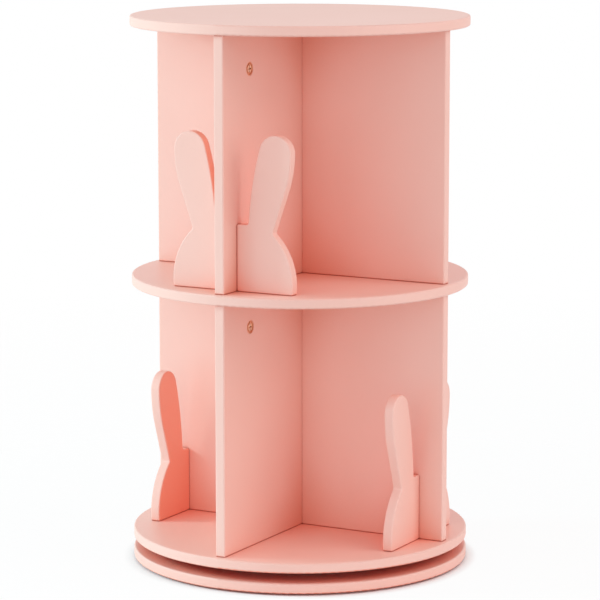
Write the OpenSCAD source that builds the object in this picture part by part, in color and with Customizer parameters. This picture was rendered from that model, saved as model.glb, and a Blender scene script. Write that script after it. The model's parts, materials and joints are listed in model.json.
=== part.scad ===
// Two-tier revolving bookcase of lacquered board: a round base, a ball-bearing turntable and a
// carousel of three round boards, cross-lapped dividers and half-rabbit book stops.
// Millimetres. The origin is the middle of the floor under the base, +Z is up and the front is -Y.

/* [Round boards] */
// Diameter of the round boards
disc_d = 400; // [350:1:460]
// Thickness of the round boards
board_t = 12; // [11:0.5:18]
// Round-over of the round boards' edges
board_edge_r = 2; // [0.5:0.25:4]
// Board left above a blind hole in a round board
blind_skin = 3.5; // [2.5:0.25:5]

/* [Dividers] */
// Clear height of one tier
tier_h = 294; // [240:1:360]
// Thickness of the dividers
divider_t = 12; // [11:0.5:18]
// Distance from a round board's rim to the end of a divider
divider_setback = 7; // [3:0.5:15]
// Round-over of the edges of dividers and stops
panel_edge_r = 1.5; // [0.5:0.25:1.75]
// Play between two dividers in their cross lap, on each side
lap_gap = 0.15; // [0.05:0.05:0.4]

/* [Book stops] */
// Thickness of a stop
stop_t = 12; // [11:0.5:18]
// Distance from a round board's rim to the outer face of a stop
stop_setback = 37; // [30:1:60]
// Height of a stop to the tip of its ear
stop_h = 181; // [160:1:210]
// Radius of the rabbit's round head, centred on the divider
head_r = 78.5; // [72:0.5:86]
// Height of the head's centre above the shelf
head_z = 10; // [4:0.5:20]
// Height of the flat crown beside the ear
crown_h = 77.5; // [66:0.5:84]
// Distance from the divider's face to the centre of the ear's tip
ear_x = 49.5; // [44:0.5:56]
// Radius of the ear's tip
ear_tip_r = 20.5; // [16:0.5:24]
// Radius of the ear's outer side
ear_outer_r = 130; // [90:1:180]
// Lean of the ear's outer side at its root, in degrees
ear_outer_lean = 19; // [14:0.5:24]
// Radius of the ear's inner side
ear_inner_r = 400; // [250:5:700]
// Lean of the ear's inner side at its tip, in degrees
ear_inner_lean = 16; // [12:0.5:20]
// Radius of the fold between cheek and ear
neck_r = 4; // [1:0.5:10]
// Radius of the fold between crown and ear
crown_r = 3; // [1:0.5:6]
// Radius of the stop's corners
corner_r = 2; // [2:0.25:4]

/* [Joinery] */
// Distance from a round board's rim to the cam locks
cam_setback = 68.5; // [58:0.5:80]
// Distance from the board above to the cam locks of the upper tier
cam_drop_upper = 42; // [28:0.5:60]
// Distance from the board above to the cam locks of the lower tier
cam_drop_lower = 34; // [28:0.5:60]
// Diameter of a cam lock
cam_d = 16; // [14:0.5:18]
// Width of a cam lock's raised rim
cam_rim_w = 1; // [0.6:0.1:1.5]
// Diameter of the hub in a cam lock's face
cam_hub_d = 9.6; // [8.5:0.1:10.5]
// Depth of the dish between a cam lock's rim and hub
cam_dish = 0.7; // [0.3:0.1:1]
// Depth of a cam lock's face below the divider's face
cam_recess = 0.3; // [0.1:0.1:0.8]
// Diameter of a cam bolt's thread
bolt_thread_d = 6; // [5:0.25:7]
// Diameter of a cam bolt's shank
bolt_shank_d = 5; // [4.5:0.25:5.5]
// Diameter of a cam bolt's neck
bolt_neck_d = 3.6; // [3:0.2:4.2]
// Diameter of a cam bolt's head
bolt_head_d = 5.6; // [5:0.2:6.4]
// Height of a cam bolt's head
bolt_head_h = 2.6; // [1.6:0.2:3.4]
// Spacing of the holes along a divider's edge
hole_pitch = 32; // [28:0.5:34]
// Diameter of a dowel
dowel_d = 6; // [5:0.5:7]
// Length of a dowel in a divider's upper edge
dowel_l = 30; // [24:1:40]
// Depth of a pin in each of the two stops that it joins
pin_depth = 24; // [16:1:30]
// Height of the lower pin above the shelf
pin_low = 20; // [14:1:26]
// Height of the upper pin above the shelf
pin_high = 57; // [46:1:62]
// Diameter of a wood screw
screw_d = 4; // [3.5:0.25:5]
// Diameter of a wood screw's countersunk head
screw_head_d = 8; // [7.5:0.25:9]
// Length of a screw that holds a divider
divider_screw_l = 45; // [32:1:60]
// Length of a screw that holds a stop
stop_screw_l = 35; // [28:1:50]
// Distance from the divider's face to the screw of a stop
stop_screw_x = 40; // [36:1:52]
// Play of a dowel, screw or cam in its hole, on each side
fit_gap = 0.1; // [0.05:0.05:0.2]
// Room left at the end of a blind hole
end_gap = 0.5; // [0.3:0.1:1]

/* [Turntable] */
// Height of the turntable between the base and the bottom shelf
turntable_h = 12; // [11:0.5:16]
// Height by which each ring clears the board that it is not fixed to
ring_lift = 2; // [1:0.25:3]
// Width of one turntable ring
ring_w = 13.5; // [12:0.5:18]
// Gap between the two rings
ring_gap = 3; // [2.6:0.1:4]
// Chamfer of the rings' edges
ring_chamfer = 0.8; // [0.3:0.1:1.2]
// Diameter of the circle of balls
track_d = 220; // [180:1:250]
// Diameter of a ball
ball_d = 6; // [5:0.25:6.5]
// Number of balls
ball_count = 24; // [12:1:36]
// Running play between a ball and its track
ball_play = 0.06; // [0.03:0.01:0.1]
// Play between a ball and the cage
pocket_play = 0.15; // [0.1:0.05:0.3]
// Thickness of the ball cage
cage_t = 2; // [1.4:0.1:2]
// Height by which the ball cage clears the boards above and below it
cage_lift = 1; // [0.5:0.25:1.5]
// Number of screws in each ring
ring_screws = 4; // [4:4:8]
// Distance of a ring's screws from its free edge
ring_screw_inset = 5.5; // [5:0.25:6]
// Diameter of the base's hole for reaching the inner ring's screws
access_d = 12; // [10:0.5:18]

/* [Feet] */
// Thickness of a foot pad
pad_t = 2; // [1:0.5:5]
// Diameter of a foot pad
pad_d = 25; // [16:1:35]
// Number of foot pads
pad_count = 6; // [3:1:8]
// Distance from the base's rim to the middle of a foot pad
pad_setback = 30; // [22:1:60]

/* [Hidden] */
$fn = 96;

// Facets in a quarter of a stop's rounded edge
stop_edge_steps = 3;
// Widest gap between the rabbit's outline and its chords
outline_sag = 0.07;
// Length by which a cutting shape runs past a face
overrun = 1;

// Heights from the floor up
base_z = pad_t;
base_top = base_z + board_t;
bottom_z = base_top + turntable_h;
lower_floor = bottom_z + board_t;
middle_z = lower_floor + tier_h;
upper_floor = middle_z + board_t;
top_z = upper_floor + tier_h;

// Reaches from the axis outwards
disc_r = disc_d / 2;
divider_l = disc_d - 2 * divider_setback;
stop_inner = disc_r - stop_setback - stop_t;
stop_middle = stop_inner + stop_t / 2;
cam_reach = disc_r - cam_setback;
track_r = track_d / 2;
ring_h = turntable_h - ring_lift;
track_z = base_top + turntable_h / 2;
outer_ring_r = track_r + ring_gap / 2;
inner_ring_r = track_r - ring_gap / 2 - ring_w;
outer_screw_r = outer_ring_r + ring_w - ring_screw_inset;
inner_screw_r = inner_ring_r + ring_screw_inset;

// Each arm's angle about the axis and the side that its cam locks open to
RIGHT = 0;
BACK = 90;
LEFT = 180;
FRONT = 270;
ARMS = [[RIGHT, 1], [BACK, -1], [LEFT, -1], [FRONT, 1]];
UPPER_STOP_ARMS = [FRONT, BACK];
LOWER_STOP_ARMS = [RIGHT, LEFT];

// Places along an arm, counted in hole spacings from the cam lock
DOWEL_STEPS = [1, -2];
SCREW_STEPS = [-1, -3];
ring_screw_angle = 45;

// Fasteners
blind_depth = board_t - blind_skin;
tip_l = screw_d;
cross_w = 0.12 * screw_head_d;
cross_l = 0.55 * screw_head_d;
cross_depth = 0.2 * screw_head_d;
dowel_chamfer = 0.8;
bolt_r = bolt_head_d / 2;
bolt_bore_r = max(bolt_thread_d, bolt_head_d) / 2 + fit_gap;
cam_pocket = divider_t / 2 + bolt_bore_r + fit_gap;
cam_chamber_r = 0.32 * cam_d;
cam_cap = divider_t / 2 - cam_recess - bolt_r - fit_gap;
cam_face_r = cam_d / 2 - fit_gap;
cam_pointer_w = cam_hub_d / 3;
cam_cross_w = 0.2 * cam_hub_d;
cam_cross_l = 0.85 * cam_hub_d;
cam_cross_depth = 0.6 * cam_cap;
bolt_head_top = sqrt(pow(cam_chamber_r, 2) - pow(bolt_r, 2)) - fit_gap;
ring_screw_l = ring_h + blind_depth - end_gap;

// Colours
LACQUER = [0.95, 0.77, 0.72];
COPPER = [0.74, 0.46, 0.33];
STEEL = [0.72, 0.73, 0.75];
ALUMINIUM = [0.82, 0.83, 0.84];
NYLON = [0.93, 0.92, 0.88];
BEECH = [0.86, 0.70, 0.50];
RUBBER = [0.20, 0.17, 0.17];

// Points along an arc of the rabbit's outline, each with the direction that faces outwards.
// A hollow arc turns clockwise and faces its own centre.
function edge_arc(centre, r, from, to) =
    let (step = 2 * acos(1 - outline_sag / r),
         steps = max(2, ceil(abs(to - from) / step)),
         facing = to > from ? 1 : -1)
    [for (i = [0:steps]) let (a = from + (to - from) * i / steps, d = [cos(a), sin(a)])
        [centre + r * d, facing * d]];

// The outline without the points that two touching arcs share
function without_repeats(edge) =
    let (n = len(edge))
    [for (i = [0:n - 1]) if (norm(edge[i][0] - edge[(i + 1) % n][0]) > 0.01) edge[i]];

function heading(v) = atan2(v.y, v.x);

// Half a rabbit: across from the divider's face, and up from the shelf
function rabbit_edge() =
    let (head = [-divider_t / 2, head_z],
         tip = [ear_x, stop_h - ear_tip_r],
         // The ear's outer side meets the tip level with its centre
         outer = tip - [ear_outer_r - ear_tip_r, 0],
         root_facing = [cos(ear_outer_lean), -sin(ear_outer_lean)],
         root = outer + ear_outer_r * root_facing,
         // The neck's fold touches the head and the straight root of the ear
         down = [-sin(ear_outer_lean), -cos(ear_outer_lean)],
         from_head = root + neck_r * root_facing - head,
         along = from_head * down,
         reach = from_head * from_head - pow(head_r + neck_r, 2),
         neck = head + from_head - (along + sqrt(pow(along, 2) - reach)) * down,
         neck_start = heading(head - neck) + 360,
         // The ear's inner side leans from the tip to the fold at the crown
         inner_start = 180 - ear_inner_lean,
         inner = tip - (ear_inner_r - ear_tip_r) * [cos(inner_start), sin(inner_start)],
         fold_z = crown_h + crown_r,
         fold = [inner.x - sqrt(pow(ear_inner_r + crown_r, 2) - pow(fold_z - inner.y, 2)), fold_z],
         inner_end = heading(fold - inner),
         // The cheek's lower corner lies inside the head's circle
         chin = [head.x + sqrt(pow(head_r - corner_r, 2) - pow(corner_r - head_z, 2)), corner_r],
         chin_end = heading(chin - head))
    without_repeats(concat(
        edge_arc([corner_r, corner_r], corner_r, 180, 270),
        edge_arc(chin, corner_r, -90, chin_end),
        edge_arc(head, head_r, chin_end, neck_start - 180),
        edge_arc(neck, neck_r, neck_start, 180 - ear_outer_lean),
        edge_arc(outer, ear_outer_r, -ear_outer_lean, 0),
        edge_arc(tip, ear_tip_r, 0, inner_start),
        edge_arc(inner, ear_inner_r, inner_start, inner_end),
        edge_arc(fold, crown_r, inner_end - 180, -90),
        edge_arc([corner_r, crown_h - corner_r], corner_r, 90, 180)));

// Puts a child on an arm: outwards along it, across it and up
module on_arm(angle, out, across = 0, up = 0) {
    rotate([0, 0, angle]) translate([out, across, up]) children();
}

// Rectangle about the origin with rounded corners
module rounded_rectangle(w, h, r) {
    square([w - 2 * r, h], center = true);
    square([w, h - 2 * r], center = true);
    for (x = [-1, 1], y = [-1, 1]) translate([x * (w / 2 - r), y * (h / 2 - r)]) circle(r = r);
}

module round_board() {
    rotate_extrude() intersection() {
        translate([0, board_t / 2]) rounded_rectangle(disc_d, board_t, board_edge_r);
        square([disc_d, board_t]);
    }
}

// Upright board about the axis with all its edges rounded
module panel(l, t, h) {
    r = panel_edge_r;
    translate([0, 0, h / 2]) intersection() {
        linear_extrude(h + 2 * overrun, center = true) rounded_rectangle(l, t, r);
        rotate([90, 0, 90]) linear_extrude(l + 2 * overrun, center = true) rounded_rectangle(t, h, r);
        rotate([90, 0, 0]) linear_extrude(t + 2 * overrun, center = true) rounded_rectangle(l, h, r);
    }
}

// Plate with the rabbit's outline, its thickness along X and both faces' edges rounded.
// Every point of the outline can be seen from the brow, so each face is a fan about it.
module rabbit_plate() {
    edge = rabbit_edge();
    n = len(edge);
    r = panel_edge_r;
    quarter = [for (k = [0:stop_edge_steps]) let (a = 90 * k / stop_edge_steps)
        [r * (1 - sin(a)), r * (1 - cos(a))]];
    rings = concat(quarter, [for (k = [stop_edge_steps:-1:0]) [quarter[k][0], stop_t - quarter[k][1]]]);
    brow = [ear_x - ear_tip_r, crown_h - 3 * crown_r];
    points = concat(
        [for (ring = rings, p = edge) let (q = p[0] - ring[0] * p[1]) [ring[1], q.x, q.y]],
        [[0, brow.x, brow.y], [stop_t, brow.x, brow.y]]);
    last = (len(rings) - 1) * n;
    near_brow = last + n;
    far_brow = near_brow + 1;
    near = [for (i = [0:n - 1]) [near_brow, i, (i + 1) % n]];
    far = [for (i = [0:n - 1]) [far_brow, last + (i + 1) % n, last + i]];
    sides = [for (j = [0:n:last - n], i = [0:n - 1], half = [0, 1]) let (k = (i + 1) % n)
        half == 0 ? [j + i, j + n + i, j + n + k] : [j + i, j + n + k, j + k]];
    polyhedron(points = points, faces = concat(near, sides, far));
}

// Countersunk wood screw pointing down, its head's face at the origin. A grown one is its hole.
module wood_screw(l, grow = 0) {
    head_r = screw_head_d / 2 + grow;
    shank_r = screw_d / 2 + grow;
    end = l + (grow > 0 ? end_gap : 0);
    mouth = grow > 0 ? overrun : 0;
    difference() {
        rotate_extrude() polygon([
            [0, mouth], [head_r, mouth], [head_r, 0], [shank_r, shank_r - head_r],
            [shank_r, tip_l - end], [0, -end]
        ]);
        if (grow == 0) {
            for (a = [0, 90]) rotate([0, 0, a]) translate([-cross_l / 2, -cross_w / 2, -cross_depth])
                cube([cross_l, cross_w, cross_depth + overrun]);
        }
    }
}

// Round pin about the origin along Z with chamfered ends. A grown one is its hole.
module round_pin(l, grow = 0) {
    r = dowel_d / 2 + grow;
    half = l / 2 + (grow > 0 ? end_gap : 0);
    c = grow > 0 ? 0 : dowel_chamfer;
    if (grow > 0) {
        cylinder(r = r, h = 2 * half, center = true);
    } else {
        rotate_extrude() polygon([
            [0, -half], [r - c, -half], [r, c - half], [r, half - c], [r - c, half], [0, half]
        ]);
    }
}

// Screws through a shelf from below into the dividers above it
module divider_screws(floor_z, grow = 0) {
    for (arm = ARMS, step = SCREW_STEPS)
        on_arm(arm[0], cam_reach + step * hole_pitch, 0, floor_z - board_t)
            rotate([180, 0, 0]) wood_screw(divider_screw_l, grow);
}

// Dowels from the dividers' upper edges into the board above them
module dowels(ceiling_z, grow = 0) {
    middle = ceiling_z + blind_depth - end_gap - dowel_l / 2;
    for (arm = ARMS, step = DOWEL_STEPS)
        on_arm(arm[0], cam_reach + step * hole_pitch, 0, middle) round_pin(dowel_l, grow);
}

// Pins through a divider that join the two stops beside it
module stop_pins(arms, floor_z, grow = 0) {
    pin_l = divider_t + 2 * pin_depth;
    for (a = arms, z = [pin_low, pin_high])
        on_arm(a, stop_middle, 0, floor_z + z) rotate([90, 0, 0]) round_pin(pin_l, grow);
}

// Screws through a shelf from below into the stops above it
module stop_screws(arms, floor_z, grow = 0) {
    for (a = arms, side = [-1, 1])
        on_arm(a, stop_middle, side * (divider_t / 2 + stop_screw_x), floor_z - board_t)
            rotate([180, 0, 0]) wood_screw(stop_screw_l, grow);
}

// Cam bolt hanging from the board above, whose underside is at the origin
module cam_bolt(drop) {
    thread_r = bolt_thread_d / 2;
    shank_r = bolt_shank_d / 2;
    neck_r = bolt_neck_d / 2;
    thread_l = blind_depth - end_gap;
    neck_z = cam_d / 2 + fit_gap - drop;
    head_z = bolt_head_top - drop;
    rotate_extrude() polygon([
        [0, thread_l], [thread_r, thread_l], [thread_r, 0], [shank_r, 0], [shank_r, neck_z],
        [neck_r, neck_z], [neck_r, head_z], [bolt_r, head_z], [bolt_r, head_z - bolt_head_h],
        [0, head_z - bolt_head_h]
    ]);
}

// Dish in a cam lock's face, round a hub and a pointer towards the bolt
module cam_face_dish() {
    hub_r = cam_hub_d / 2;
    floor_r = cam_face_r - cam_rim_w;
    pointer_tip = floor_r - cam_rim_w / 2;
    translate([0, 0, -cam_recess - cam_dish]) linear_extrude(cam_dish + overrun) difference() {
        circle(r = floor_r);
        circle(r = hub_r);
        polygon([[-cam_pointer_w / 2, hub_r / 2], [cam_pointer_w / 2, hub_r / 2], [0, pointer_tip]]);
    }
}

// Cam lock facing +Z with the divider's face at the origin, its bolt coming from +Y
module cam_lock() {
    body_h = cam_pocket - cam_recess - fit_gap;
    difference() {
        translate([0, 0, -cam_recess - body_h]) cylinder(r = cam_face_r, h = body_h);
        cam_face_dish();
        translate([0, 0, -cam_pocket - overrun])
            cylinder(r = cam_chamber_r, h = cam_pocket + overrun - cam_recess - cam_cap);
        translate([-bolt_neck_d / 2 - fit_gap, 0, -cam_pocket - overrun])
            cube([bolt_neck_d + 2 * fit_gap, cam_d, cam_pocket + overrun - cam_recess - cam_cap]);
        for (a = [0, 90]) rotate([0, 0, a])
            translate([-cam_cross_l / 2, -cam_cross_w / 2, -cam_recess - cam_cross_depth])
                cube([cam_cross_l, cam_cross_w, cam_cross_depth + overrun]);
    }
}

// Puts a child on the face of a divider where a cam lock goes, facing out of the face
module at_cam(arm, ceiling_z, drop) {
    side = arm[1];
    on_arm(arm[0], cam_reach, side * divider_t / 2, ceiling_z - drop)
        rotate([90, 0, side > 0 ? 180 : 0]) children();
}

module cam_locks(ceiling_z, drop) {
    for (arm = ARMS) at_cam(arm, ceiling_z, drop) cam_lock();
}

module cam_bolts(ceiling_z, drop) {
    for (arm = ARMS) on_arm(arm[0], cam_reach, 0, ceiling_z) cam_bolt(drop);
}

// Holes for the cam bolts' threads in the board above
module cam_bolt_holes(ceiling_z) {
    for (arm = ARMS) on_arm(arm[0], cam_reach, 0, ceiling_z - overrun)
        cylinder(r = bolt_thread_d / 2 + fit_gap, h = overrun + blind_depth);
}

// Pockets and bores for the cam locks and their bolts in the dividers
module cam_cuts(ceiling_z, drop) {
    for (arm = ARMS) {
        at_cam(arm, ceiling_z, drop) translate([0, 0, -cam_pocket])
            cylinder(d = cam_d, h = cam_pocket + overrun);
        on_arm(arm[0], cam_reach, 0, ceiling_z - drop) cylinder(r = bolt_bore_r, h = drop + overrun);
    }
}

// One of a tier's two dividers. The one that runs across has its slot below, the other above.
module divider(angle, floor_z, drop, stop_arms) {
    ceiling_z = floor_z + tier_h;
    slot_w = divider_t + 2 * lap_gap;
    slot_h = tier_h / 2 + lap_gap;
    slot_z = angle == RIGHT ? floor_z - overrun : floor_z + tier_h / 2 - lap_gap;
    difference() {
        translate([0, 0, floor_z]) rotate([0, 0, angle]) panel(divider_l, divider_t, tier_h);
        translate([-slot_w / 2, -slot_w / 2, slot_z]) cube([slot_w, slot_w, slot_h + overrun]);
        cam_cuts(ceiling_z, drop);
        dowels(ceiling_z, fit_gap);
        divider_screws(floor_z, fit_gap);
        stop_pins(stop_arms, floor_z, fit_gap);
    }
}

// Half-rabbit stop on an arm, standing against one side of its divider
module stop(angle, side, floor_z) {
    difference() {
        rotate([0, 0, angle]) mirror([0, side < 0 ? 1 : 0, 0])
            translate([stop_inner, divider_t / 2, floor_z]) rabbit_plate();
        stop_pins([angle], floor_z, fit_gap);
        stop_screws([angle], floor_z, fit_gap);
    }
}

// Section of a turntable ring with its corner nearest the axis at the given place
module ring_section(r, z) {
    c = ring_chamfer;
    translate([r, z]) polygon([
        [c, 0], [ring_w - c, 0], [ring_w, c], [ring_w, ring_h - c],
        [ring_w - c, ring_h], [c, ring_h], [0, ring_h - c], [0, c]
    ]);
}

module bearing_ring(r, z) {
    rotate_extrude() difference() {
        ring_section(r, z);
        translate([track_r, track_z]) circle(r = ball_d / 2 + ball_play);
    }
}

module around(count, r, first = 0) {
    for (i = [0:count - 1]) on_arm(first + 360 * i / count, r) children();
}

module base_screws(grow = 0) {
    around(ring_screws, outer_screw_r, ring_screw_angle)
        translate([0, 0, base_top + ring_h]) wood_screw(ring_screw_l, grow);
}

module shelf_screws(grow = 0) {
    around(ring_screws, inner_screw_r, ring_screw_angle)
        translate([0, 0, bottom_z - ring_h]) rotate([180, 0, 0]) wood_screw(ring_screw_l, grow);
}

module balls(grow = 0) {
    around(ball_count, track_r) translate([0, 0, track_z]) sphere(d = ball_d + 2 * grow);
}

module base_board() {
    color(LACQUER) difference() {
        translate([0, 0, base_z]) round_board();
        base_screws(fit_gap);
        on_arm(ring_screw_angle, inner_screw_r, 0, base_z - overrun)
            cylinder(d = access_d, h = board_t + 2 * overrun);
    }
}

module foot_pads() {
    color(RUBBER) around(pad_count, disc_r - pad_setback) cylinder(d = pad_d, h = pad_t);
}

module bearing_outer_ring() {
    color(ALUMINIUM) difference() {
        bearing_ring(outer_ring_r, base_top);
        base_screws(fit_gap);
    }
}

module bearing_inner_ring() {
    color(ALUMINIUM) difference() {
        bearing_ring(inner_ring_r, bottom_z - ring_h);
        shelf_screws(fit_gap);
    }
}

module bearing_balls() {
    color(STEEL) balls();
}

module ball_cage() {
    color(NYLON) difference() {
        rotate_extrude() translate([track_r - cage_t / 2, base_top + cage_lift])
            square([cage_t, turntable_h - 2 * cage_lift]);
        balls(pocket_play);
    }
}

module bottom_shelf() {
    color(LACQUER) difference() {
        translate([0, 0, bottom_z]) round_board();
        shelf_screws(fit_gap);
        divider_screws(lower_floor, fit_gap);
        stop_screws(LOWER_STOP_ARMS, lower_floor, fit_gap);
    }
}

module middle_shelf() {
    color(LACQUER) difference() {
        translate([0, 0, middle_z]) round_board();
        dowels(middle_z, fit_gap);
        cam_bolt_holes(middle_z);
        divider_screws(upper_floor, fit_gap);
        stop_screws(UPPER_STOP_ARMS, upper_floor, fit_gap);
    }
}

module top_board() {
    color(LACQUER) difference() {
        translate([0, 0, top_z]) round_board();
        dowels(top_z, fit_gap);
        cam_bolt_holes(top_z);
    }
}

module lower_divider_cross() {
    color(LACQUER) divider(RIGHT, lower_floor, cam_drop_lower, LOWER_STOP_ARMS);
}

module lower_divider_front() {
    color(LACQUER) divider(BACK, lower_floor, cam_drop_lower, []);
}

module upper_divider_cross() {
    color(LACQUER) divider(RIGHT, upper_floor, cam_drop_upper, []);
}

module upper_divider_front() {
    color(LACQUER) divider(BACK, upper_floor, cam_drop_upper, UPPER_STOP_ARMS);
}

module lower_stop_left_front() {
    color(LACQUER) stop(LEFT, 1, lower_floor);
}

module lower_stop_left_back() {
    color(LACQUER) stop(LEFT, -1, lower_floor);
}

module lower_stop_right_front() {
    color(LACQUER) stop(RIGHT, -1, lower_floor);
}

module lower_stop_right_back() {
    color(LACQUER) stop(RIGHT, 1, lower_floor);
}

module upper_stop_front_left() {
    color(LACQUER) stop(FRONT, -1, upper_floor);
}

module upper_stop_front_right() {
    color(LACQUER) stop(FRONT, 1, upper_floor);
}

module upper_stop_back_left() {
    color(LACQUER) stop(BACK, 1, upper_floor);
}

module upper_stop_back_right() {
    color(LACQUER) stop(BACK, -1, upper_floor);
}

module bearing_base_screws() {
    color(STEEL) base_screws();
}

module bearing_shelf_screws() {
    color(STEEL) shelf_screws();
}

module lower_cam_locks() {
    color(COPPER) cam_locks(middle_z, cam_drop_lower);
}

module upper_cam_locks() {
    color(COPPER) cam_locks(top_z, cam_drop_upper);
}

module lower_cam_bolts() {
    color(STEEL) cam_bolts(middle_z, cam_drop_lower);
}

module upper_cam_bolts() {
    color(STEEL) cam_bolts(top_z, cam_drop_upper);
}

module lower_dowels() {
    color(BEECH) dowels(middle_z);
}

module upper_dowels() {
    color(BEECH) dowels(top_z);
}

module lower_stop_pins() {
    color(BEECH) stop_pins(LOWER_STOP_ARMS, lower_floor);
}

module upper_stop_pins() {
    color(BEECH) stop_pins(UPPER_STOP_ARMS, upper_floor);
}

module lower_divider_screws() {
    color(STEEL) divider_screws(lower_floor);
}

module upper_divider_screws() {
    color(STEEL) divider_screws(upper_floor);
}

module lower_stop_screws() {
    color(STEEL) stop_screws(LOWER_STOP_ARMS, lower_floor);
}

module upper_stop_screws() {
    color(STEEL) stop_screws(UPPER_STOP_ARMS, upper_floor);
}

base_board();
foot_pads();
bearing_outer_ring();
bearing_inner_ring();
bearing_balls();
ball_cage();
bearing_base_screws();
bearing_shelf_screws();
bottom_shelf();
middle_shelf();
top_board();
lower_divider_cross();
lower_divider_front();
upper_divider_cross();
upper_divider_front();
lower_stop_left_front();
lower_stop_left_back();
lower_stop_right_front();
lower_stop_right_back();
upper_stop_front_left();
upper_stop_front_right();
upper_stop_back_left();
upper_stop_back_right();
lower_cam_locks();
upper_cam_locks();
lower_cam_bolts();
upper_cam_bolts();
lower_dowels();
upper_dowels();
lower_stop_pins();
upper_stop_pins();
lower_divider_screws();
upper_divider_screws();
lower_stop_screws();
upper_stop_screws();
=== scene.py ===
"""Revolving bookcase, in metres: finishes, finer fasteners, light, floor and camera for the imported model."""

import json
import math

import bmesh
import bpy
from mathutils import Matrix, Vector


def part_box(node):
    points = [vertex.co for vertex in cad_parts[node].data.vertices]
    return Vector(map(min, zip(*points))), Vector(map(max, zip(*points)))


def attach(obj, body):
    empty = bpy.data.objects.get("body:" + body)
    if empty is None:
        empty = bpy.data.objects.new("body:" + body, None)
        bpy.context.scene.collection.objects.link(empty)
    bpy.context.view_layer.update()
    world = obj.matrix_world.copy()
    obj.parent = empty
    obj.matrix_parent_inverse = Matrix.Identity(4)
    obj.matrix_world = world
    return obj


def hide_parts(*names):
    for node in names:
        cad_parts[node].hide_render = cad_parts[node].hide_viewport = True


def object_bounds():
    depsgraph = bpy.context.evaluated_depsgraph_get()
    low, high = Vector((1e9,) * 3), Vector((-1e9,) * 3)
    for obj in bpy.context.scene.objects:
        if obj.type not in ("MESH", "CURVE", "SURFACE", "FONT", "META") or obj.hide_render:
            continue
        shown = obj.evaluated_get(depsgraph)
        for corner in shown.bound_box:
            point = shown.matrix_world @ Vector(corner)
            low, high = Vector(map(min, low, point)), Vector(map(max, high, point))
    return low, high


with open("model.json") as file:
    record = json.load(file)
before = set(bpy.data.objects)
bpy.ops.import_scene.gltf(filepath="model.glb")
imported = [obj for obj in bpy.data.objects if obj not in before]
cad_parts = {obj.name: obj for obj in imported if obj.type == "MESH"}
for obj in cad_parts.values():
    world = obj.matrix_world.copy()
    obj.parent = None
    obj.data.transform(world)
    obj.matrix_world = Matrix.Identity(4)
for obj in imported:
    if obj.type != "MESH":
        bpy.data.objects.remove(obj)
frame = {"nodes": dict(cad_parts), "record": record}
cad_low, cad_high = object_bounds()
nodes = frame["nodes"]
slot_of = {part["node"]: part["material_slot"] for part in frame["record"]["subparts"]}
bodies = frame["record"]["behaviour"]["bodies"]
body_of = {node: body for body, members in bodies.items() for node in members}

# Camera: the pitched view without shift that comes closest to the photograph, in metres and degrees
CAMERA_DISTANCE = 3.456
CAMERA_HEIGHT = 0.880
CAMERA_AZIMUTH = 28.4
CAMERA_PITCH = 9.365
FOCAL_LENGTH_MM = 176.2

# Light: a white card that faces a light of level 1 renders white
AMBIENT_LEVEL = 0.468
AMBIENT_TINT = (1.03, 0.975, 0.97)
LEFT_TINT = (0.44, 1.05, 1.14)
FRONT_TINT = (0.88, 1.05, 1.14)
RIGHT_TINT = (0.96, 0.99, 1.0)
LAMP_DISTANCE = 3.0
MOST_BOUNCES = 16
DIFFUSE_BOUNCES = 8

# Floor: seen directly it is lifted towards white past the shadow round the foot, and from FLOOR_CLEAR
# outwards it fades into the studio
FLOOR_RADIUS = 2.0
FLOOR_SIDES = 96
FLOOR_CLEAR = 0.45
FLOOR_DROP = 0.0001
FLOOR_LIFT = 0.93
FLOOR_DARK = (0.93, 0.93, 0.93)
FLOOR_PALE = (0.96, 0.96, 0.96)
FOOT_INSET = 0.002
SHADOW_WIDTH = 0.015

# Lacquer: its colours, among them painted shade for corners, joints and the turntable's gap and a painted
# highlight for board edges, how far the gap's painted shade reaches past the turntable's gap, how much of the
# edge's painted highlight a board's edge takes, how much more matt the edge is, and the depth of the spray's
# texture
PINK = (0.95, 0.55, 0.465)
PINK_DEEP = (0.938, 0.532, 0.447)
# Painted highlight: the slightly paler colour of board edges, where light catches them
PINK_EDGE_HIGHLIGHT = (0.95, 0.565, 0.48)
# Painted shade: deeper, redder colours for the corners that boards and stops close in
PINK_PAINTED_SHADE = (0.82, 0.305, 0.195)
ORANGE_PAINTED_SHADE = (0.98, 0.36, 0.25)
# Painted shade: the dark lines where boards meet
PAINTED_SEAM_SHADE = (0.58, 0.12, 0.08)
# Painted shade: the dark inside of the turntable's gap
PAINTED_GAP_SHADE = (0.52, 0.09, 0.068)
GAP_SHADE_EDGE = 0.002
EDGE_HIGHLIGHT_SHARE = 0.5
EDGE_MATT = 0.05
PEEL_DEPTH = 0.00003

# Painted shade masks: how far a neighbour counts, and the open share of the sky below which a surface has
# its full painted shade colour and above which it has none
BOARD_PAINTED_SHADE_MASK = (0.10, 0.15, 0.62)
STOP_PAINTED_SHADE_MASK = (0.20, 0.20, 0.52)
SEAM_PAINTED_SHADE_MASK = (0.004, 0.10, 0.66)
GAP_PAINTED_SHADE_MASK = (0.05, 0.0, 0.15)
CAM_PAINTED_SHADE_MASK = (0.0015, 0.45, 0.95)
PAINTED_SHADE_SAMPLES = 8

# Cam locks: the colours of their plating, with a painted highlight and painted shade among them, the painted
# highlight round the axis, and their rounded edges
COPPER_DEEP = (0.88, 0.46, 0.28)
COPPER = (0.98, 0.62, 0.42)
# Painted highlight: the paler colour round a cam lock's axis
COPPER_PAINTED_HIGHLIGHT = (1.0, 0.64, 0.45)
# Painted shade: the dull colour in a cam lock's recesses
COPPER_PAINTED_SHADE = (0.52, 0.23, 0.12)
HIGHLIGHT_RADIUS = 0.0044
HIGHLIGHT_BLEND = 0.0006
CAM_EDGE = 0.00025
CAM_EDGE_STEPS = 3
CAM_EDGE_ANGLE = math.radians(40.0)

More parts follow.
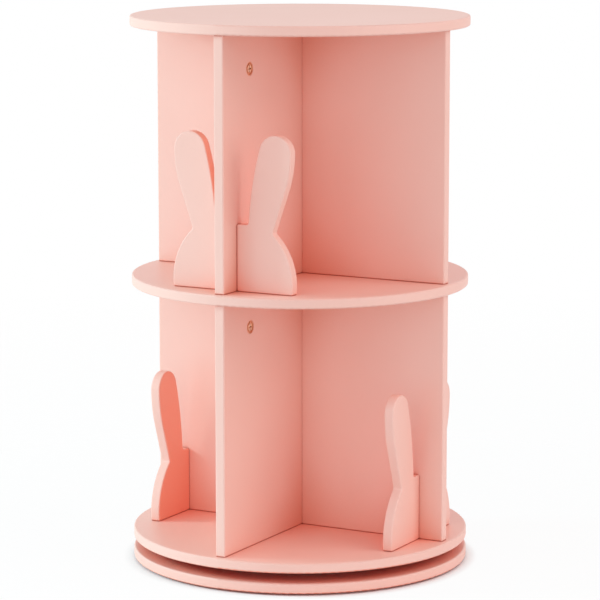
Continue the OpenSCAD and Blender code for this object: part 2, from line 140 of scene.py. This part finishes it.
# Zinc plating: its colour, and the share of it that the darker spots have
ZINC = (0.62, 0.63, 0.64)
ZINC_SHADE = 0.86

# Meshes: points closer than this are one, in the finer fasteners and in the model's own meshes, and faces
# that meet at more than the sharp angle keep a crease
MERGE = 0.000001
WELD = 0.00001
SHARP_ANGLE = math.radians(35.0)

# Fasteners: their places, lengths and outer radii come from the solids that they stand for
COLUMNS = 16
THREAD_ROWS = 3
SCREW_SHANK = 0.0016
SCREW_CORE = 0.0013
SCREW_CREST = 0.0020
SCREW_PITCH = 0.0018
SCREW_TIP = 0.0040
PLAIN_SHARE = 0.25
CROSS_REACH = 0.0022
CROSS_DEPTH = 0.0016
CROSS_TAPER = 0.6
BOLT_HEAD = 0.0028
BOLT_HEAD_HEIGHT = 0.0026
BOLT_NECK = 0.0018
BOLT_NECK_LENGTH = 0.0039
BOLT_SHANK = 0.0025
BOLT_CORE = 0.0022
BOLT_PITCH = 0.0018
BOLT_THREAD = 0.0080
BOLT_CHAMFER = 0.0003
FLUTES = 18
FLUTE_DEPTH = 0.00025
PIN_CHAMFER = 0.0008

WHITE = (1.0, 1.0, 1.0, 1.0)
AXES = {"x": (1.0, 0.0, 0.0), "y": (0.0, 1.0, 0.0), "z": (0.0, 0.0, 1.0)}


class Finish:
    """A material's node tree, with short ways to add and join its nodes."""

    def __init__(self, name):
        self.material = bpy.data.materials.new(name)
        self.material.use_nodes = True
        self.tree = self.material.node_tree
        self.shader = self.tree.nodes["Principled BSDF"]
        self.place = self.node("ShaderNodeTexCoord").outputs["Object"]

    def node(self, kind, settings=None, **inputs):
        """Adds a node. An input is a plain value or another node's output."""
        made = self.tree.nodes.new(kind)
        for name, value in (settings or {}).items():
            setattr(made, name, value)
        for name, value in inputs.items():
            self.join(value, made.inputs[name.replace("_", " ")])
        return made

    def join(self, value, socket):
        """Links another node's output to a socket, or sets the socket to a plain value."""
        if isinstance(value, bpy.types.NodeSocket):
            self.tree.links.new(value, socket)
        else:
            socket.default_value = value

    def set(self, **inputs):
        """Sets or joins the shader's own inputs."""
        for name, value in inputs.items():
            self.join(value, self.shader.inputs[name.replace("_", " ")])

    def math(self, operation, first, second=0.0):
        """Works out one value from one or two others."""
        made = self.node("ShaderNodeMath", {"operation": operation})
        self.join(first, made.inputs[0])
        self.join(second, made.inputs[1])
        return made.outputs[0]

    def noise(self, scale, detail=2.0, stretch=None):
        """Noise from 0 to 1 at so many cells a metre, which stretch scales along each axis."""
        place = self.place
        if stretch:
            place = self.node("ShaderNodeMapping", Vector=place, Scale=stretch).outputs["Vector"]
        return self.node("ShaderNodeTexNoise", Vector=place, Scale=scale, Detail=detail).outputs["Fac"]

    def remap(self, value, low, high, to_low, to_high):
        """Carries the range from low to high over to another one, and stays within that."""
        ends = {"From_Min": low, "From_Max": high, "To_Min": to_low, "To_Max": to_high}
        return self.node("ShaderNodeMapRange", Value=value, **ends).outputs["Result"]

    def spread(self, noise, low, high):
        """Spreads the middle of a noise over a range."""
        return self.remap(noise, 0.3, 0.7, low, high)

    def painted_shade_mask(self, reach, full, none, only_local=False):
        """How much painted shade a point gets, from 0 to 1, from its neighbours. With only_local, only the
        node's own solids count.
        """
        settings = {"samples": PAINTED_SHADE_SAMPLES, "only_local": only_local}
        open_sky = self.node("ShaderNodeAmbientOcclusion", settings, Distance=reach).outputs["AO"]
        return self.remap(open_sky, full, none, 1.0, 0.0)

    def mix(self, factor, first, second):
        """Blends two linear colours."""
        made = self.node("ShaderNodeMix", {"data_type": "RGBA"})
        self.join(factor, made.inputs[0])
        for socket, colour in ((made.inputs[6], first), (made.inputs[7], second)):
            self.join(colour if isinstance(colour, bpy.types.NodeSocket) else (*colour, 1.0), socket)
        return made.outputs[2]

    def bump(self, height, depth):
        """Raises the surface by a height from 0 to 1 times a depth in metres."""
        return self.node("ShaderNodeBump", Height=height, Distance=depth, Strength=1.0).outputs["Normal"]


def in_turntable_gap(finish):
    """1 between the base board and the bottom shelf, and 0 above and below that gap."""
    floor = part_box("base_board")[1].z
    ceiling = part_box("bottom_shelf")[0].z
    height = finish.node("ShaderNodeSeparateXYZ", Vector=finish.place).outputs["Z"]
    from_middle = finish.math("ABSOLUTE", finish.math("SUBTRACT", height, (floor + ceiling) / 2))
    reach = (ceiling - floor) / 2
    return finish.remap(from_middle, reach, reach + GAP_SHADE_EDGE, 1.0, 0.0)


def lacquered_board(name, flat_axis, painted_shade_mask=BOARD_PAINTED_SHADE_MASK, painted_shade_colour=PINK_PAINTED_SHADE, over_turntable=False):
    """Sprayed satin lacquer on fibreboard whose broad faces look along flat_axis. Its colour carries painted
    shade: deeper where other boards close it in, thin dark lines in the joints between boards, and, with
    over_turntable, dark in the turntable's gap. Its edges carry a painted highlight, a slightly paler colour."""
    finish = Finish(name)
    clouds = finish.noise(scale=7.0, detail=3.0)
    specks = finish.noise(scale=900.0, detail=1.0)
    peel = finish.noise(scale=420.0, detail=1.5)
    facing = finish.node("ShaderNodeVectorMath", {"operation": "DOT_PRODUCT"})
    finish.join(finish.node("ShaderNodeNewGeometry").outputs["Normal"], facing.inputs[0])
    finish.join(flat_axis, facing.inputs[1])
    edge = finish.remap(finish.math("ABSOLUTE", facing.outputs["Value"]), 0.2, 0.9, 1.0, 0.0)
    face = finish.mix(finish.remap(clouds, 0.35, 0.65, 0.0, 1.0), PINK, PINK_DEEP)
    # Painted highlight: board edges are a little paler
    with_edge_highlight = finish.mix(finish.math("MULTIPLY", edge, EDGE_HIGHLIGHT_SHARE), face, PINK_EDGE_HIGHLIGHT)
    # Painted shade: a deeper colour where neighbours close a board in
    with_painted_shade = finish.mix(finish.painted_shade_mask(*painted_shade_mask), with_edge_highlight, painted_shade_colour)
    # Painted shade: dark lines in the joints between boards
    colour = finish.mix(finish.painted_shade_mask(*SEAM_PAINTED_SHADE_MASK), with_painted_shade, PAINTED_SEAM_SHADE)
    # Painted shade: dark inside the turntable's gap, for the base board and bottom shelf
    if over_turntable:
        shaded = finish.math("MULTIPLY", in_turntable_gap(finish), finish.painted_shade_mask(*GAP_PAINTED_SHADE_MASK))
        colour = finish.mix(shaded, colour, PAINTED_GAP_SHADE)
    matt = finish.math("ADD", finish.spread(specks, 0.40, 0.46), finish.math("MULTIPLY", edge, EDGE_MATT))
    finish.set(Base_Color=colour, Roughness=matt, IOR=1.8)
    finish.set(Normal=finish.bump(peel, PEEL_DEPTH))
    return finish.material


def from_cam_axis(finish, node):
    """How far a point is from the axis of the nearest cam lock of a tier. They all lie equally far out."""
    low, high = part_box(node)
    radius = (high.z - low.z) / 2
    place = finish.node("ShaderNodeSeparateXYZ", Vector=finish.place)
    along = [finish.math("ABSOLUTE", place.outputs[axis]) for axis in ("X", "Y")]
    across = finish.math("SUBTRACT", finish.math("MAXIMUM", *along), high.x - radius)
    up = finish.math("SUBTRACT", place.outputs["Z"], low.z + radius)
    squares = [finish.math("MULTIPLY", side, side) for side in (across, up)]
    return finish.math("SQRT", finish.math("ADD", *squares))


def copper_zinc(node):
    """Copper-plated die-cast zinc, a little mottled from the casting, with painted shade, a dull colour, in
    its recesses and a painted highlight round the axis, a paler and less metallic patch."""
    finish = Finish(f"copper_zinc_{node}")
    mottle = finish.noise(scale=600.0, detail=3.0)
    # Painted highlight: a paler, less metallic patch round the cam's axis
    painted_highlight = finish.remap(from_cam_axis(finish, node), HIGHLIGHT_RADIUS - HIGHLIGHT_BLEND, HIGHLIGHT_RADIUS, 1.0, 0.0)
    plating = finish.mix(painted_highlight, finish.mix(mottle, COPPER_DEEP, COPPER), COPPER_PAINTED_HIGHLIGHT)
    # Painted shade: a dull colour in the cam's recesses
    recess = finish.painted_shade_mask(*CAM_PAINTED_SHADE_MASK, only_local=True)
    finish.set(Base_Color=finish.mix(recess, plating, COPPER_PAINTED_SHADE))
    finish.set(Metallic=finish.remap(painted_highlight, 0.0, 1.0, 0.9, 0.15))
    finish.set(Roughness=finish.spread(mottle, 0.30, 0.42), Normal=finish.bump(mottle, 0.00006))
    return finish.material


def zinc_steel(name, rough):
    """Steel with a bright zinc plating, or polished where rough is low."""
    finish = Finish(name)
    mottle = finish.noise(scale=800.0, detail=2.0)
    deeper = tuple(ZINC_SHADE * part for part in ZINC)
    finish.set(Base_Color=finish.mix(mottle, deeper, ZINC), Metallic=1.0)
    finish.set(Roughness=finish.spread(mottle, 0.8 * rough, 1.2 * rough))
    finish.set(Normal=finish.bump(mottle, 0.00002))
    return finish.material


def turned_aluminium():
    """Aluminium ring with fine circular tool marks round the turning axis."""
    finish = Finish("turned_aluminium")
    rings = {"wave_type": "RINGS", "rings_direction": "Z"}
    lines = {"Scale": 160.0, "Distortion": 0.6, "Detail": 2.0}
    marks = finish.node("ShaderNodeTexWave", rings, Vector=finish.place, **lines).outputs["Fac"]
    finish.set(Base_Color=finish.mix(marks, (0.60, 0.61, 0.62), (0.74, 0.75, 0.76)), Metallic=1.0)
    finish.set(Roughness=finish.remap(marks, 0.0, 1.0, 0.28, 0.42), Normal=finish.bump(marks, 0.00003))
    return finish.material


def moulded_nylon():
    """Natural nylon with a fine moulded grain."""
    finish = Finish("moulded_nylon")
    grain = finish.noise(scale=700.0, detail=3.0)
    finish.set(Base_Color=finish.mix(grain, (0.78, 0.76, 0.69), (0.86, 0.85, 0.79)), Subsurface_Weight=0.1)
    finish.set(Roughness=finish.spread(grain, 0.42, 0.58), Normal=finish.bump(grain, 0.00004))
    return finish.material


def beech():
    """Plain beech: long fibres with short darker flecks."""
    finish = Finish("beech")
    fibres = finish.noise(scale=900.0, detail=4.0, stretch=(1.0, 1.0, 0.08))
    flecks = finish.noise(scale=1400.0, detail=1.0, stretch=(1.0, 1.0, 0.25))
    wood = finish.mix(fibres, (0.56, 0.36, 0.19), (0.74, 0.52, 0.31))
    fleck = finish.remap(flecks, 0.62, 0.70, 0.0, 0.6)
    finish.set(Base_Color=finish.mix(fleck, wood, (0.40, 0.23, 0.11)))
    finish.set(Roughness=finish.spread(fibres, 0.55, 0.75), Normal=finish.bump(fibres, 0.00006))
    return finish.material


def foot_rubber():
    """Dark rubber with a fine matt skin."""
    finish = Finish("foot_rubber")
    grain = finish.noise(scale=1500.0, detail=3.0)
    finish.set(Base_Color=finish.mix(grain, (0.022, 0.018, 0.018), (0.045, 0.038, 0.037)))
    finish.set(Roughness=finish.spread(grain, 0.75, 0.92), Normal=finish.bump(grain, 0.00005))
    return finish.material


def thin_axis(name):
    """The letter of the axis along which a board is thinnest."""
    low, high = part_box(name)
    return min(AXES, key=lambda letter: getattr(high - low, letter))


def join_faces(part):
    """Joins the faces of a node's mesh along their common edges."""
    weld = part.modifiers.new("joined_faces", "WELD")
    weld.merge_threshold = WELD


def smooth_facets(part):
    """Shades a node's flat facets as the round form that they stand for."""
    join_faces(part)
    split = part.modifiers.new("sharp_edges", "EDGE_SPLIT")
    split.split_angle = SHARP_ANGLE
    part.modifiers.new("smooth_shading", "WEIGHTED_NORMAL")


def soften_edges(part):
    """Rounds a cam lock's sharp edges, as a casting has them."""
    join_faces(part)
    bevel = part.modifiers.new("soft_edges", "BEVEL")
    bevel.width = CAM_EDGE
    bevel.segments = CAM_EDGE_STEPS
    bevel.limit_method = "ANGLE"
    bevel.angle_limit = CAM_EDGE_ANGLE
    bevel.harden_normals = True


def dress_nodes():
    """Gives every node of the model the finish of its slot, and finer fasteners for the plain ones."""
    boards = {letter: lacquered_board(f"lacquered_board_{letter}", axis) for letter, axis in AXES.items()}
    # Stops get a redder, more orange painted shade in their corners than boards
    look = {"painted_shade_mask": STOP_PAINTED_SHADE_MASK, "painted_shade_colour": ORANGE_PAINTED_SHADE}
    stops = {letter: lacquered_board(f"lacquered_stop_{letter}", AXES[letter], **look) for letter in "xy"}
    # The base board and bottom shelf also get the painted shade of the turntable's gap
    turntable_board = lacquered_board("lacquered_board_turntable", AXES["z"], painted_shade_colour=ORANGE_PAINTED_SHADE,
                                      over_turntable=True)
    finishes = {
        "steel": zinc_steel("zinc_steel", rough=0.32),
        "aluminium": turned_aluminium(),
        "nylon": moulded_nylon(),
        "beech": beech(),
        "foot_rubber": foot_rubber(),
    }
    polished = zinc_steel("polished_steel", rough=0.10)
    for name, part in nodes.items():
        slot = slot_of[name]
        if name in ("base_board", "bottom_shelf"):
            material = turntable_board
        elif slot == "lacquered_board" and "_stop_" in name:
            material = stops[thin_axis(name)]
            smooth_facets(part)
        elif slot == "lacquered_board":
            material = boards[thin_axis(name)]
        elif slot == "copper_zinc":
            material = copper_zinc(name)
            soften_edges(part)
        elif name == "bearing_balls":
            material = polished
        else:
            material = finishes[slot]
        part.data.materials.clear()
        part.data.materials.append(material)
    refine_fasteners(finishes["steel"], finishes["beech"])


class Turned:
    """A closed mesh of rings about the Z axis, built up from one end to the other."""

    def __init__(self, columns=COLUMNS):
        self.columns = columns
        self.mesh = bmesh.new()
        self.last = None

    def point(self, radius, column, height):
        """Adds a point in the middle of a column."""
        turn = 2.0 * math.pi * (column + 0.5) / self.columns
        return self.mesh.verts.new((radius * math.cos(turn), radius * math.sin(turn), height))

    def ring(self, height, radii):
        """Adds a ring of one radius, or of one for each column, and joins it to the ring before."""
        if isinstance(radii, float):
            radii = [radii] * self.columns
        made = [self.point(radius, column, height) for column, radius in enumerate(radii)]
        if self.last:
            for column in range(self.columns):
                before = (self.last[column - 1], self.last[column])
                self.mesh.faces.new((*before, made[column], made[column - 1]))
        self.last = made

    def end(self, height):
        """Closes the last ring with a fan to the axis."""
        middle = self.mesh.verts.new((0.0, 0.0, height))
        for column in range(self.columns):
            self.mesh.faces.new((self.last[column - 1], self.last[column], middle))

    def thread(self, low, high, core, crest, pitch):
        """Adds a thread that runs out at both ends. Its rows of points climb with it, and every turn's
        first row is the crest. A row's last point is the first one of the row a turn higher."""
        turns = math.ceil((high - low) / pitch)
        rows = []
        for row in range(-THREAD_ROWS, (turns + 1) * THREAD_ROWS + 1):
            points = []
            for column in range(self.columns):
                height = low + pitch * (row / THREAD_ROWS + column / self.columns)
                height = min(max(height, low), high)
                rise = min(pitch, height - low, high - height) / pitch if row % THREAD_ROWS == 0 else 0.0
                points.append(self.point(core + rise * (crest - core), column, height))
            rows.append(points)
        strips = [row + higher[:1] for row, higher in zip(rows, rows[THREAD_ROWS:])]
        for lower, upper in zip(strips, strips[1:]):
            for column in range(self.columns):
                below = (lower[column], lower[column + 1])
                self.mesh.faces.new((*below, upper[column + 1], upper[column]))
        self.last = None
        self.ring(high, core)

    def shape(self):
        """The finished mesh, with points that fall together made one and all faces turned outwards."""
        bmesh.ops.remove_doubles(self.mesh, verts=self.mesh.verts, dist=MERGE)
        bmesh.ops.recalc_face_normals(self.mesh, faces=self.mesh.faces)
        return self.mesh


def cross_outline():
    """How far the edge of a screw's cross recess is from its middle, for each column."""
    half_width = CROSS_REACH * math.tan(math.pi / COLUMNS)
    outline = []
    for column in range(COLUMNS):
        turn = 2.0 * math.pi * (column + 0.5) / COLUMNS
        from_arm = min(turn % (math.pi / 2), -turn % (math.pi / 2))
        outline.append(min(CROSS_REACH / math.cos(from_arm), half_width / math.sin(from_arm)))
    return outline


def wood_screw(length, head):
    """Countersunk screw with a cross recess, a plain shank and a thread, up from its head at the origin."""
    cross = cross_outline()
    plain_end = PLAIN_SHARE * length
    thread_start = plain_end + SCREW_SHANK - SCREW_CORE
    screw = Turned()
    screw.ring(CROSS_DEPTH, [CROSS_TAPER * reach for reach in cross])
    screw.end(CROSS_DEPTH)
    screw.ring(0.0, cross)
    screw.ring(0.0, head)
    screw.ring(head - SCREW_SHANK, SCREW_SHANK)
    screw.ring(plain_end, SCREW_SHANK)
    screw.ring(thread_start, SCREW_CORE)
    screw.thread(thread_start, length - SCREW_TIP, SCREW_CORE, SCREW_CREST, SCREW_PITCH)
    screw.end(length)
    return screw.shape()


def cam_bolt(length, crest):
    """Cam bolt from the head that the cam grips, at the origin, up through neck and shank to its thread."""
    neck_end = BOLT_HEAD_HEIGHT + BOLT_NECK_LENGTH
    thread_start = length - BOLT_THREAD
    bolt = Turned()
    bolt.ring(0.0, BOLT_HEAD - BOLT_CHAMFER)
    bolt.end(0.0)
    bolt.ring(BOLT_CHAMFER, BOLT_HEAD)
    bolt.ring(BOLT_HEAD_HEIGHT, BOLT_HEAD)
    bolt.ring(BOLT_HEAD_HEIGHT, BOLT_NECK)
    bolt.ring(neck_end, BOLT_NECK)
    bolt.ring(neck_end, BOLT_SHANK)
    bolt.ring(thread_start, BOLT_SHANK)
    bolt.ring(thread_start, BOLT_CORE)
    bolt.thread(thread_start, length, BOLT_CORE, crest, BOLT_PITCH)
    bolt.end(length)
    return bolt.shape()


def fluted_pin(length, radius):
    """Dowel with chamfered ends, and flutes along it that leave room for the glue."""
    fluted = [radius, radius - FLUTE_DEPTH] * FLUTES
    pin = Turned(columns=2 * FLUTES)
    pin.ring(0.0, radius - PIN_CHAMFER)
    pin.end(0.0)
    pin.ring(PIN_CHAMFER, fluted)
    pin.ring(length - PIN_CHAMFER, fluted)
    pin.ring(length, radius - PIN_CHAMFER)
    pin.end(length)
    return pin.shape()


def solids_of(node):
    """The lowest and highest corner of each separate solid in a node, in a fixed order."""
    work = bmesh.new()
    work.from_mesh(nodes[node].data)
    bmesh.ops.remove_doubles(work, verts=work.verts, dist=WELD)
    unseen = set(work.verts)
    boxes = []
    while unseen:
        found = [unseen.pop()]
        for vertex in found:
            linked = {edge.other_vert(vertex) for edge in vertex.link_edges} & unseen
            unseen -= linked
            found.extend(linked)
        low = Vector([min(vertex.co[axis] for vertex in found) for axis in range(3)])
        high = Vector([max(vertex.co[axis] for vertex in found) for axis in range(3)])
        boxes.append((low, high))
    work.free()
    return sorted(boxes, key=lambda corners: tuple(corners[0]))


def refine(node, make, material, points_down=False):
    """Replaces a node's plain fasteners by finer ones, each along the solid that it stands for."""
    whole = bpy.data.meshes.new(f"fine_{node}")
    gathered = bmesh.new()
    for low, high in solids_of(node):
        size = high - low
        axis = max(range(3), key=lambda index: size[index])
        start = (low + high) / 2
        start[axis] = high[axis] if points_down else low[axis]
        ahead = Vector((0.0, 0.0, 0.0))
        ahead[axis] = -1.0 if points_down else 1.0
        fastener = make(size[axis], min(size) / 2)
        fastener.transform(Matrix.Translation(start) @ ahead.to_track_quat("Z", "Y").to_matrix().to_4x4())
        fastener.to_mesh(whole)
        fastener.free()
        gathered.from_mesh(whole)
    gathered.to_mesh(whole)
    gathered.free()
    whole.shade_smooth()
    whole.set_sharp_from_angle(angle=SHARP_ANGLE)
    whole.materials.append(material)
    fine = bpy.data.objects.new(f"fine_{node}", whole)
    bpy.context.scene.collection.objects.link(fine)
    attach(fine, body_of[node])
    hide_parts(node)


def refine_fasteners(steel, wood):
    """Makes the threads, recesses and flutes that the plain screws, bolts, dowels and pins leave out."""
    for tier in ("lower", "upper"):
        refine(f"{tier}_divider_screws", wood_screw, steel)
        refine(f"{tier}_stop_screws", wood_screw, steel)
        refine(f"{tier}_cam_bolts", cam_bolt, steel)
        refine(f"{tier}_dowels", fluted_pin, wood)
        refine(f"{tier}_stop_pins", fluted_pin, wood)
    refine("bearing_base_screws", wood_screw, steel, points_down=True)
    refine("bearing_shelf_screws", wood_screw, steel)


def make_camera():
    """A camera that looks towards the object's axis, a little downwards."""
    data = bpy.data.cameras.new("camera")
    data.lens = FOCAL_LENGTH_MM
    camera = bpy.data.objects.new("camera", data)
    turn = math.radians(CAMERA_AZIMUTH)
    camera.location = (CAMERA_DISTANCE * math.sin(turn), -CAMERA_DISTANCE * math.cos(turn), CAMERA_HEIGHT)
    camera.rotation_euler = (math.radians(90.0 - CAMERA_PITCH), 0.0, turn)
    bpy.context.scene.collection.objects.link(camera)
    bpy.context.scene.camera = camera


def soft_box(name, level, azimuth, elevation, size, tint):
    """A square soft box aimed at the middle of the object. At a level of 1 it alone lights a card that
    faces it to full white. Shiny surfaces show the white studio instead of it."""
    data = bpy.data.lights.new(name, "AREA")
    data.shape = "SQUARE"
    data.size = size
    data.color = tint
    data.energy = level * (math.pi * LAMP_DISTANCE) ** 2
    lamp = bpy.data.objects.new(name, data)
    turn = math.radians(azimuth)
    rise = math.radians(elevation)
    outwards = Vector((math.sin(turn) * math.cos(rise), -math.cos(turn) * math.cos(rise), math.sin(rise)))
    lamp.location = (cad_low + cad_high) / 2 + LAMP_DISTANCE * outwards
    lamp.rotation_euler = (math.pi / 2 - rise, 0.0, turn)
    lamp.visible_glossy = False
    bpy.context.scene.collection.objects.link(lamp)


def seen_directly(tree):
    """1 for camera, glossy and transmitted rays, which see the plain white studio, and 0 for the rest."""
    path = tree.nodes.new("ShaderNodeLightPath")
    total = path.outputs["Is Camera Ray"]
    for name in ("Is Glossy Ray", "Is Transmission Ray"):
        either = tree.nodes.new("ShaderNodeMath")
        either.operation = "MAXIMUM"
        tree.links.new(total, either.inputs[0])
        tree.links.new(path.outputs[name], either.inputs[1])
        total = either.outputs[0]
    return total


def blend_shaders(tree, factor, first, second):
    """A node that blends the shaders of two other nodes."""
    blend = tree.nodes.new("ShaderNodeMixShader")
    for source, socket in zip((factor, first.outputs[0], second.outputs[0]), blend.inputs):
        tree.links.new(source, socket)
    return blend


def make_world():
    """White studio: pure white where it is seen, and a soft ambient light on the object."""
    world = bpy.data.worlds.new("studio")
    world.use_nodes = True
    tree = world.node_tree
    ambient = tree.nodes["Background"]
    ambient.inputs["Color"].default_value = (*AMBIENT_TINT, 1.0)
    ambient.inputs["Strength"].default_value = AMBIENT_LEVEL
    white = tree.nodes.new("ShaderNodeBackground")
    white.inputs["Color"].default_value = WHITE
    studio = blend_shaders(tree, seen_directly(tree), ambient, white)
    tree.links.new(studio.outputs[0], tree.nodes["World Output"].inputs["Surface"])
    bpy.context.scene.world = world


def make_floor():
    """Pale round floor that keeps the object's shadow and fades into the white studio further out."""
    bpy.ops.mesh.primitive_circle_add(vertices=FLOOR_SIDES, radius=FLOOR_RADIUS, fill_type="NGON")
    floor = bpy.context.active_object
    floor.name = "floor"
    floor.location.z = -FLOOR_DROP
    finish = Finish("pale_floor")
    grain = finish.noise(scale=60.0, detail=3.0)
    finish.set(Base_Color=finish.mix(grain, FLOOR_DARK, FLOOR_PALE), Roughness=0.6)
    length = finish.node("ShaderNodeVectorMath", {"operation": "LENGTH"})
    finish.join(finish.place, length.inputs[0])
    from_middle = length.outputs["Value"]
    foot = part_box("base_board")[1].x - FOOT_INSET
    past_shadow = finish.remap(from_middle, foot, foot + SHADOW_WIDTH, 0.0, FLOOR_LIFT)
    lift = finish.math("MULTIPLY", seen_directly(finish.tree), past_shadow)
    white = finish.node("ShaderNodeEmission", Color=WHITE)
    lifted = blend_shaders(finish.tree, lift, finish.shader, white)
    fade = finish.remap(from_middle, FLOOR_CLEAR, FLOOR_RADIUS, 0.0, 1.0)
    clear = finish.node("ShaderNodeBsdfTransparent")
    faded = blend_shaders(finish.tree, fade, lifted, clear)
    finish.tree.links.new(faded.outputs[0], finish.tree.nodes["Material Output"].inputs["Surface"])
    floor.data.materials.append(finish.material)


bpy.context.scene.view_settings.view_transform = "Standard"
bpy.context.scene.cycles.max_bounces = MOST_BOUNCES
bpy.context.scene.cycles.diffuse_bounces = DIFFUSE_BOUNCES
make_camera()
make_world()
soft_box("left_key", level=0.500, azimuth=-65.0, elevation=18.0, size=0.7, tint=LEFT_TINT)
soft_box("left_fill", level=0.235, azimuth=-52.0, elevation=15.0, size=2.6, tint=FRONT_TINT)
soft_box("front_fill", level=0.131, azimuth=10.0, elevation=10.0, size=2.2, tint=FRONT_TINT)
soft_box("high_front_fill", level=0.092, azimuth=-15.0, elevation=40.0, size=2.0, tint=FRONT_TINT)
soft_box("low_right_fill", level=0.245, azimuth=98.0, elevation=15.0, size=2.4, tint=RIGHT_TINT)
soft_box("high_right_fill", level=0.196, azimuth=95.0, elevation=45.0, size=2.0, tint=RIGHT_TINT)
make_floor()
dress_nodes()
